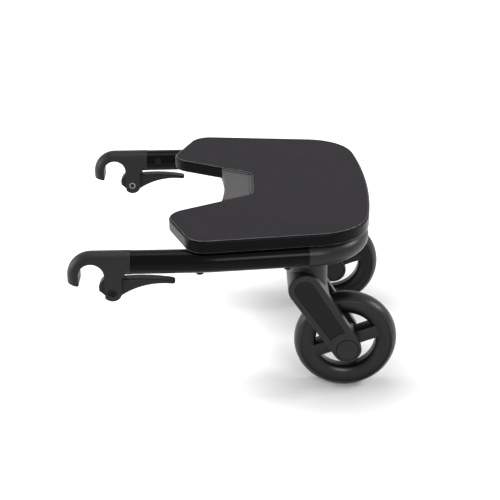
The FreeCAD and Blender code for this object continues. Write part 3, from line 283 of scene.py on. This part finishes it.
def buildMouldGroup():
    # Fine moulded grain, slow random changes of tone, rounded edges lightened towards grey: partly wear,
    # partly painted edge highlight
    tree = bpy.data.node_groups.new("mouldedSkin", "ShaderNodeTree")
    newSockets(tree, "INPUT", (("Colour", "Color"), ("Rough", "Float"), ("Grain Size", "Float"),
                               ("Grain Depth", "Float"), ("Edge Radius", "Float"), ("Wear And Highlight", "Float")))
    newSockets(tree, "OUTPUT", (("Color", "Color"), ("Roughness", "Float"), ("Normal", "Vector")))
    nodes = tree.nodes
    links = tree.links
    entry = nodes.new("NodeGroupInput").outputs
    leave = nodes.new("NodeGroupOutput").inputs
    coordinates = nodes.new("ShaderNodeTexCoord")

    def noise(scale, detail):
        node = nodes.new("ShaderNodeTexNoise")
        node.inputs["Detail"].default_value = detail
        links.new(coordinates.outputs["Object"], node.inputs["Vector"])
        feed(tree, node.inputs["Scale"], scale)
        return node.outputs["Fac"]

    bevel = nodes.new("ShaderNodeBevel")
    bevel.samples = mouldedSkin["edgeSamples"]
    links.new(entry["Edge Radius"], bevel.inputs["Radius"])
    grain = noise(entry["Grain Size"], mouldedSkin["grainDetail"])
    broad = noise(*mouldedSkin["broad"])
    smudge = noise(*mouldedSkin["smudge"])
    bump = nodes.new("ShaderNodeBump")
    bump.inputs["Distance"].default_value = mouldedSkin["grainHeight"]
    links.new(entry["Grain Depth"], bump.inputs["Strength"])
    links.new(grain, bump.inputs["Height"])
    links.new(bevel.outputs[0], bump.inputs["Normal"])
    links.new(bump.outputs[0], leave["Normal"])
    # Edge mask: where the rounded normal leaves the face's own; there the colour is lightened towards grey,
    # as wear and as painted edge highlight
    geometry = nodes.new("ShaderNodeNewGeometry")
    meet = nodes.new("ShaderNodeVectorMath")
    meet.operation = "DOT_PRODUCT"
    links.new(bevel.outputs[0], meet.inputs[0])
    links.new(geometry.outputs["Normal"], meet.inputs[1])
    turned = addMaths(tree, "SUBTRACT", 1, meet.outputs["Value"])
    bent = addMaths(tree, "MULTIPLY", turned, mouldedSkin["edgeGain"], clamp=True)
    edgeWearAndHighlight = addMaths(tree, "MULTIPLY", addMaths(tree, "MULTIPLY", bent, smudge), entry["Wear And Highlight"])
    darkest, span = mouldedSkin["shade"]
    shade = nodes.new("ShaderNodeHueSaturation")
    shade.inputs["Hue"].default_value = 0.5
    shade.inputs["Saturation"].default_value = 1
    links.new(addMaths(tree, "ADD", darkest, addMaths(tree, "MULTIPLY", broad, span)), shade.inputs["Value"])
    links.new(entry["Colour"], shade.inputs["Color"])
    wearAndHighlightMix = nodes.new("ShaderNodeMix")
    wearAndHighlightMix.data_type = "RGBA"
    links.new(edgeWearAndHighlight, wearAndHighlightMix.inputs["Factor"])
    links.new(shade.outputs[0], wearAndHighlightMix.inputs["A"])
    wearAndHighlightMix.inputs["B"].default_value = mouldedSkin["edgeWearAndHighlightColor"]
    links.new(wearAndHighlightMix.outputs["Result"], leave["Color"])
    offset = addMaths(tree, "MULTIPLY", addMaths(tree, "SUBTRACT", smudge, 0.5), mouldedSkin["glossSpan"])
    links.new(addMaths(tree, "ADD", entry["Rough"], offset), leave["Roughness"])
    return tree


def buildFinishes(skin):
    made = {}
    for slot, finish in finishes.items():
        material = bpy.data.materials.new(slot)
        material.use_nodes = True
        nodes = material.node_tree.nodes
        links = material.node_tree.links
        shader = nodes["Principled BSDF"]
        shader.inputs["Specular IOR Level"].default_value = finish["specular"]
        shader.inputs["Metallic"].default_value = finish.get("metal", 0.0)
        shader.inputs["Sheen Weight"].default_value = finish.get("sheen", 0.0)
        shader.inputs["Sheen Roughness"].default_value = mouldedSkin["sheenRough"]
        group = nodes.new("ShaderNodeGroup")
        group.node_tree = skin
        group.inputs["Colour"].default_value = (*finish["color"], 1)
        group.inputs["Rough"].default_value = finish["rough"]
        group.inputs["Grain Size"].default_value = finish["grain"]
        group.inputs["Grain Depth"].default_value = finish["depth"]
        group.inputs["Edge Radius"].default_value = finish["edge"] * mm
        group.inputs["Wear And Highlight"].default_value = finish["wearAndHighlight"]
        links.new(group.outputs["Color"], shader.inputs["Base Color"])
        links.new(group.outputs["Roughness"], shader.inputs["Roughness"])
        links.new(group.outputs["Normal"], shader.inputs["Normal"])
        made[slot] = material
    return made


materials = buildFinishes(buildMouldGroup())
for part in record["subparts"]:
    node = frame["nodes"][part["node"]]
    node.data.materials.clear()
    node.data.materials.append(materials[part["material_slot"]])
print(f"{len(materials)} finishes on {len(record['subparts'])} nodes")


def newTree(name, inputs):
    tree = bpy.data.node_groups.new(name, "GeometryNodeTree")
    tree.is_modifier = True
    newSockets(tree, "INPUT", (("Geometry", "Geometry"), *inputs, ("Finish", "Material")))
    newSockets(tree, "OUTPUT", (("Geometry", "Geometry"),))
    return tree, tree.nodes.new("NodeGroupInput").outputs, tree.nodes.new("NodeGroupOutput").inputs


def finishTree(tree, entry, leave, geometry):
    # Every tree ends as plain, coloured mesh
    real = tree.nodes.new("GeometryNodeRealizeInstances")
    paint = tree.nodes.new("GeometryNodeSetMaterial")
    tree.links.new(geometry, real.inputs[0])
    tree.links.new(real.outputs[0], paint.inputs["Geometry"])
    tree.links.new(entry["Finish"], paint.inputs["Material"])
    tree.links.new(paint.outputs[0], leave["Geometry"])


def runTree(source, tree, values):
    # Runs the tree on the source object and gives back a plain, welded mesh
    bpy.context.scene.collection.objects.link(source)
    modifier = source.modifiers.new(tree.name, "NODES")
    modifier.node_group = tree
    for item in tree.interface.items_tree:
        if item.in_out == "INPUT" and item.name in values:
            modifier[item.identifier] = values[item.name]
    bpy.context.view_layer.update()
    evaluated = source.evaluated_get(bpy.context.evaluated_depsgraph_get())
    mesh = bpy.data.meshes.new_from_object(evaluated)
    source.modifiers.remove(modifier)
    bpy.data.objects.remove(source)
    shape = bmesh.new()
    shape.from_mesh(mesh)
    bmesh.ops.remove_doubles(shape, verts=shape.verts, dist=weldApart)
    bmesh.ops.recalc_face_normals(shape, faces=shape.faces)
    shape.to_mesh(mesh)
    shape.free()
    return mesh


def addPiece(name, mesh, body, stands):
    # A piece without a body is not attached to one
    piece = bpy.data.objects.new(name, mesh)
    mesh.name = name
    bpy.context.scene.collection.objects.link(piece)
    if body:
        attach(piece, body)
    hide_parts(*stands)
    return piece


# Socket screws: head above its seat, shank below, all in millimetres
screwKinds = {
    "deckScrews": {"nodes": ("deck_screws",), "head": 9.0, "height": 2.2, "shank": 5.0, "length": 38.0,
                   "key": 4.0, "keyDepth": 1.5, "soft": 0.5},
    "webScrews": {"nodes": ("chassis_screws",), "head": 8.0, "height": 2.5, "shank": 4.0, "length": 15.0,
                  "key": 3.5, "keyDepth": 1.6, "soft": 0.45},
    "plateScrews": {"nodes": ("plate_screws",), "head": 5.6, "height": 1.6, "shank": 3.0, "length": 11.0,
                    "key": 2.5, "keyDepth": 1.0, "soft": 0.3},
    "hookScrews": {"nodes": ("left_hook_screw", "right_hook_screw"), "head": 8.4, "height": 2.4,
                   "shank": 4.0, "length": 9.0, "key": 3.4, "keyDepth": 1.5, "soft": 0.55},
    "latchBolts": {"nodes": ("left_latch_bolt", "right_latch_bolt"), "head": 9.8, "height": 3.0,
                   "shank": 6.0, "length": 21.4, "key": 4.6, "keyDepth": 1.9, "soft": 0.5},
}
screwSizes = {"Head": "head", "Height": "height", "Shank": "shank", "Length": "length", "Key": "key",
              "Key Depth": "keyDepth"}
# Seat and direction of each screw on the left; the right side mirrors it
screwSpots = {
    "deckScrews": (((-42.6, -165.0, 184.0), (0, 0, -1)), ((59.4, -155.82, 184.0), (0, 0, -1))),
    "webScrews": (((58.4, -75.0, 206.0), (0, 0, -1)), ((121.0, -75.0, 206.0), (0, 0, -1))),
    "plateScrews": (((25.2, -17.25, 209.0), (0, 0, -1)), ((1.05, -49.51, 209.0), (0, 0, -1))),
    "hookScrews": (((-106.6, -151.477, 201.623), (0, 0.9659, 0.2588)),),
    "latchBolts": (((-144.0, -173.6, 165.0), (0, -1, 0)),),
}
screwShape = {
    "headCorners": 40,
    "shankCorners": 24,
    "keyCorners": 6,
    "intoHead": 0.2,  # how far the shank reaches into the head, as a share of its height
    "softSteps": 3,
    "softAngle": 40,  # degrees; sharper edges are rounded
    "finish": "black_steel",
}


def buildScrewTree():
    tree, entry, leave = newTree("socketScrews", [(size, "Float") for size in screwSizes])
    nodes = tree.nodes
    links = tree.links

    def rod(corners, across, depth, middle):
        node = nodes.new("GeometryNodeMeshCylinder")
        node.inputs["Vertices"].default_value = corners
        links.new(addMaths(tree, "MULTIPLY", across, 0.5), node.inputs["Radius"])
        links.new(depth, node.inputs["Depth"])
        height = nodes.new("ShaderNodeCombineXYZ")
        links.new(middle, height.inputs["Z"])
        move = nodes.new("GeometryNodeTransform")
        links.new(node.outputs["Mesh"], move.inputs["Geometry"])
        links.new(height.outputs[0], move.inputs["Translation"])
        return move.outputs[0]

    headMiddle = addMaths(tree, "MULTIPLY", entry["Height"], 0.5)
    head = rod(screwShape["headCorners"], entry["Head"], entry["Height"], headMiddle)
    intoHead = addMaths(tree, "MULTIPLY", entry["Height"], screwShape["intoHead"])
    shankDepth = addMaths(tree, "ADD", entry["Length"], intoHead)
    shankMiddle = addMaths(tree, "SUBTRACT", intoHead, addMaths(tree, "MULTIPLY", shankDepth, 0.5))
    shank = rod(screwShape["shankCorners"], entry["Shank"], shankDepth, shankMiddle)
    keyLength = addMaths(tree, "MULTIPLY", entry["Key Depth"], 2)
    key = rod(screwShape["keyCorners"], entry["Key"], keyLength, entry["Height"])
    union = nodes.new("GeometryNodeMeshBoolean")
    union.operation = "UNION"
    for solid in (head, shank):
        links.new(solid, union.inputs["Mesh 2"])
    cut = nodes.new("GeometryNodeMeshBoolean")
    cut.operation = "DIFFERENCE"
    links.new(union.outputs["Mesh"], cut.inputs["Mesh 1"])
    links.new(key, cut.inputs["Mesh 2"])
    aim = nodes.new("GeometryNodeInputNamedAttribute")
    aim.data_type = "FLOAT_VECTOR"
    aim.inputs["Name"].default_value = "aim"
    turn = nodes.new("FunctionNodeAlignRotationToVector")
    turn.axis = "Z"
    links.new(aim.outputs["Attribute"], turn.inputs["Vector"])
    spread = nodes.new("GeometryNodeInstanceOnPoints")
    links.new(entry["Geometry"], spread.inputs["Points"])
    links.new(cut.outputs["Mesh"], spread.inputs["Instance"])
    links.new(turn.outputs[0], spread.inputs["Rotation"])
    finishTree(tree, entry, leave, spread.outputs[0])
    return tree


def addScrews():
    tree = buildScrewTree()
    finish = screwShape["finish"]
    for name, kind in screwKinds.items():
        spots = [*screwSpots[name]]
        spots += [((x, -y, z), (aim[0], -aim[1], aim[2])) for (x, y, z), aim in screwSpots[name]]
        points = bpy.data.meshes.new(name)
        points.from_pydata([[value * mm for value in place] for place, _ in spots], [], [])
        aims = points.attributes.new("aim", "FLOAT_VECTOR", "POINT")
        for item, (_, aim) in zip(aims.data, spots):
            item.vector = aim
        source = bpy.data.objects.new(name + "Points", points)
        sizes = {socket: kind[size] * mm for socket, size in screwSizes.items()}
        mesh = runTree(source, tree, {**sizes, "Finish": materials[finish]})
        screws = addPiece(name, mesh, "frame", kind["nodes"])
        soften = screws.modifiers.new("softEdges", "BEVEL")
        soften.width = kind["soft"] * mm
        soften.segments = screwShape["softSteps"]
        soften.limit_method = "ANGLE"
        soften.angle_limit = math.radians(screwShape["softAngle"])
        soften.harden_normals = True
        print(f"{name}: {len(spots)} screws")


addScrews()

# Torsion springs of the latches, wound round the bolts, in millimetres
latchSpring = {
    "pin": (-144.0, -165.0, 165.0),
    "radius": 3.75,
    "wire": 0.9,
    "pitch": 1.4,
    "turns": 3.5,
    "roofLeg": 17.51,
    "leverLeg": 9.0,
    "steps": 40,  # points per turn
    "wireCorners": 12,
    "finish": "bright_steel",
}


def springPath(side):
    radius = latchSpring["radius"]
    pitch = latchSpring["pitch"]
    turns = latchSpring["turns"]
    steps = round(turns * latchSpring["steps"])

    def helix(angle):
        along = pitch * (angle / math.tau - turns / 2)
        spot = Vector((radius * math.cos(angle), along, -radius * math.sin(angle)))
        way = Vector((-radius * math.sin(angle), pitch / math.tau, -radius * math.cos(angle))).normalized()
        return spot, way

    coil = [helix(math.tau * turns * index / steps) for index in range(steps + 1)]
    path = [coil[0][0] - coil[0][1] * latchSpring["roofLeg"]]
    path += [spot for spot, _ in coil]
    path.append(coil[-1][0] + coil[-1][1] * latchSpring["leverLeg"])
    pin = Vector(latchSpring["pin"])
    return [Vector((point.x + pin.x, side * (point.y + pin.y), point.z + pin.z)) * mm for point in path]


def buildWireTree():
    tree, entry, leave = newTree("woundWire", [("Wire Radius", "Float")])
    nodes = tree.nodes
    links = tree.links
    ring = nodes.new("GeometryNodeCurvePrimitiveCircle")
    ring.inputs["Resolution"].default_value = latchSpring["wireCorners"]
    links.new(entry["Wire Radius"], ring.inputs["Radius"])
    sweep = nodes.new("GeometryNodeCurveToMesh")
    sweep.inputs["Fill Caps"].default_value = True
    links.new(entry["Geometry"], sweep.inputs["Curve"])
    links.new(ring.outputs["Curve"], sweep.inputs["Profile Curve"])
    smooth = nodes.new("GeometryNodeSetShadeSmooth")
    links.new(sweep.outputs[0], smooth.inputs["Geometry"])
    finishTree(tree, entry, leave, smooth.outputs[0])
    return tree


def addSprings():
    tree = buildWireTree()
    finish = latchSpring["finish"]
    for side, way in sides:
        path = springPath(way)
        wire = bpy.data.curves.new(side + "SpringPath", "CURVE")
        wire.dimensions = "3D"
        spline = wire.splines.new("POLY")
        spline.points.add(len(path) - 1)
        for point, spot in zip(spline.points, path):
            point.co = (*spot, 1)
        source = bpy.data.objects.new(side + "SpringPath", wire)
        wireRadius = latchSpring["wire"] / 2 * mm
        mesh = runTree(source, tree, {"Wire Radius": wireRadius, "Finish": materials[finish]})
        spring = addPiece(side + "LatchSpring", mesh, None, (side + "_latch_spring",))
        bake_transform(spring)
        print(f"{side} latch spring: {len(mesh.polygons)} faces")


addSprings()

# Grip pad: the rubber sheet fills its recess
gripPad = {
    "grow": 0.26,  # millimetres, closes the fitting gap
    "flatAngle": 0.5,  # degrees; flatter edges are dissolved
    "wallSlope": 0.3,  # faces whose normal rises less are walls
}


def addGripPad():
    mesh = frame["nodes"]["deck_grip_pad"].data.copy()
    shape = bmesh.new()
    shape.from_mesh(mesh)
    bmesh.ops.remove_doubles(shape, verts=shape.verts, dist=weldApart)
    flatAngle = math.radians(gripPad["flatAngle"])
    bmesh.ops.dissolve_limit(shape, angle_limit=flatAngle, verts=shape.verts, edges=shape.edges)
    # Push the standing walls outward into the gap
    moves = {}
    for vertex in shape.verts:
        out = Vector((0, 0, 0))
        for face in vertex.link_faces:
            if abs(face.normal.z) < gripPad["wallSlope"]:
                out += Vector((face.normal.x, face.normal.y, 0))
        if out.length > 0:
            moves[vertex] = out.normalized() * gripPad["grow"] * mm
    for vertex, move in moves.items():
        vertex.co += move
    shape.to_mesh(mesh)
    shape.free()
    addPiece("gripPad", mesh, "frame", ("deck_grip_pad",))
    print(f"grip pad: {len(mesh.polygons)} faces")


addGripPad()

# Rims: a rounded ring, two spokes and a hub, in millimetres
wheelRim = {
    "middle": (133.0, -111.0, 63.5),
    "bore": 37.0,
    "boreHalf": 4.0,  # straight part of the bore, then the face rounds out to the lip
    "lip": 55.0,
    "lipHalf": 13.0,
    "lipThick": 2.2,
    "seat": 53.0,
    "faceSteps": 24,
    "hub": 16.0,
    "hubBore": 7.05,
    "hubHalf": 16.6,
    "hubSoft": 1.0,
    "hubSteps": 5,
    "spokeWide": 17.0,
    "spokeDeep": 20.0,
    "spokeReach": (10.0, 44.0),
    "spokeTilt": 19.0,  # degrees
    "spokeSoft": 1.4,
    "spokeSteps": 4,
    "lengthwise": 0.9,  # an edge runs along the spoke above this cosine
    "steps": 160,  # round the wheel
    "sharpAngle": 32,  # degrees
    "finish": "rim_plastic",
}


def bothHalves(half):
    return half + [(radius, -along) for radius, along in reversed(half)]


def ringProfile():
    wide = wheelRim["lip"] - wheelRim["bore"]
    deep = wheelRim["lipHalf"] - wheelRim["boreHalf"]
    half = []
    for index in range(wheelRim["faceSteps"] + 1):
        angle = math.pi / 2 * index / wheelRim["faceSteps"]
        half.append((wheelRim["lip"] - wide * math.cos(angle), wheelRim["boreHalf"] + deep * math.sin(angle)))
    inside = wheelRim["lipHalf"] - wheelRim["lipThick"]
    return bothHalves(half + [(wheelRim["lip"], inside), (wheelRim["seat"], inside)])


def hubProfile():
    soft = wheelRim["hubSoft"]
    half = [(wheelRim["hubBore"], wheelRim["hubHalf"])]
    for index in range(wheelRim["hubSteps"] + 1):
        angle = math.pi / 2 * index / wheelRim["hubSteps"]
        half.append((wheelRim["hub"] - soft + soft * math.sin(angle),
                     wheelRim["hubHalf"] - soft + soft * math.cos(angle)))
    return bothHalves(half)


def turnProfile(shape, profile):
    rings = []
    for index in range(wheelRim["steps"]):
        angle = math.tau * index / wheelRim["steps"]
        rings.append([shape.verts.new((radius * math.cos(angle), along, radius * math.sin(angle)))
                      for radius, along in profile])
    for index, ring in enumerate(rings):
        after = rings[(index + 1) % len(rings)]
        for spot in range(len(profile)):
            ahead = (spot + 1) % len(profile)
            shape.faces.new((ring[spot], ring[ahead], after[ahead], after[spot]))


def addSpoke(shape, turn):
    near, far = wheelRim["spokeReach"]
    size = Matrix.Diagonal((far - near, wheelRim["spokeDeep"], wheelRim["spokeWide"], 1))
    place = Matrix.Rotation(-turn, 4, "Y") @ Matrix.Translation(((near + far) / 2, 0, 0)) @ size
    made = bmesh.ops.create_cube(shape, size=1, matrix=place)
    along = Vector((math.cos(turn), 0, math.sin(turn)))

    def runsAlong(edge):
        way = (edge.verts[1].co - edge.verts[0].co).normalized()
        return abs(way.dot(along)) > wheelRim["lengthwise"]

    edges = {edge for vertex in made["verts"] for edge in vertex.link_edges}
    bmesh.ops.bevel(shape, geom=[edge for edge in edges if runsAlong(edge)], offset=wheelRim["spokeSoft"],
                    segments=wheelRim["spokeSteps"], profile=0.5, affect="EDGES")


def addRims():
    finish = wheelRim["finish"]
    x, y, z = wheelRim["middle"]
    for side, way in sides:
        shape = bmesh.new()
        turnProfile(shape, ringProfile())
        turnProfile(shape, hubProfile())
        for turn in (0, math.pi):
            addSpoke(shape, turn + math.radians(wheelRim["spokeTilt"]))
        bmesh.ops.recalc_face_normals(shape, faces=shape.faces)
        shape.transform(Matrix.Scale(mm, 4) @ Matrix.Translation((x, way * y, z)))
        mesh = bpy.data.meshes.new(side + "WheelRim")
        shape.to_mesh(mesh)
        shape.free()
        mesh.shade_smooth()
        mesh.set_sharp_from_angle(angle=math.radians(wheelRim["sharpAngle"]))
        mesh.materials.append(materials[finish])
        addPiece(side + "WheelRim", mesh, side + "_wheel", (side + "_rim",))
        print(f"{side} rim: {len(mesh.polygons)} faces")


addRims()
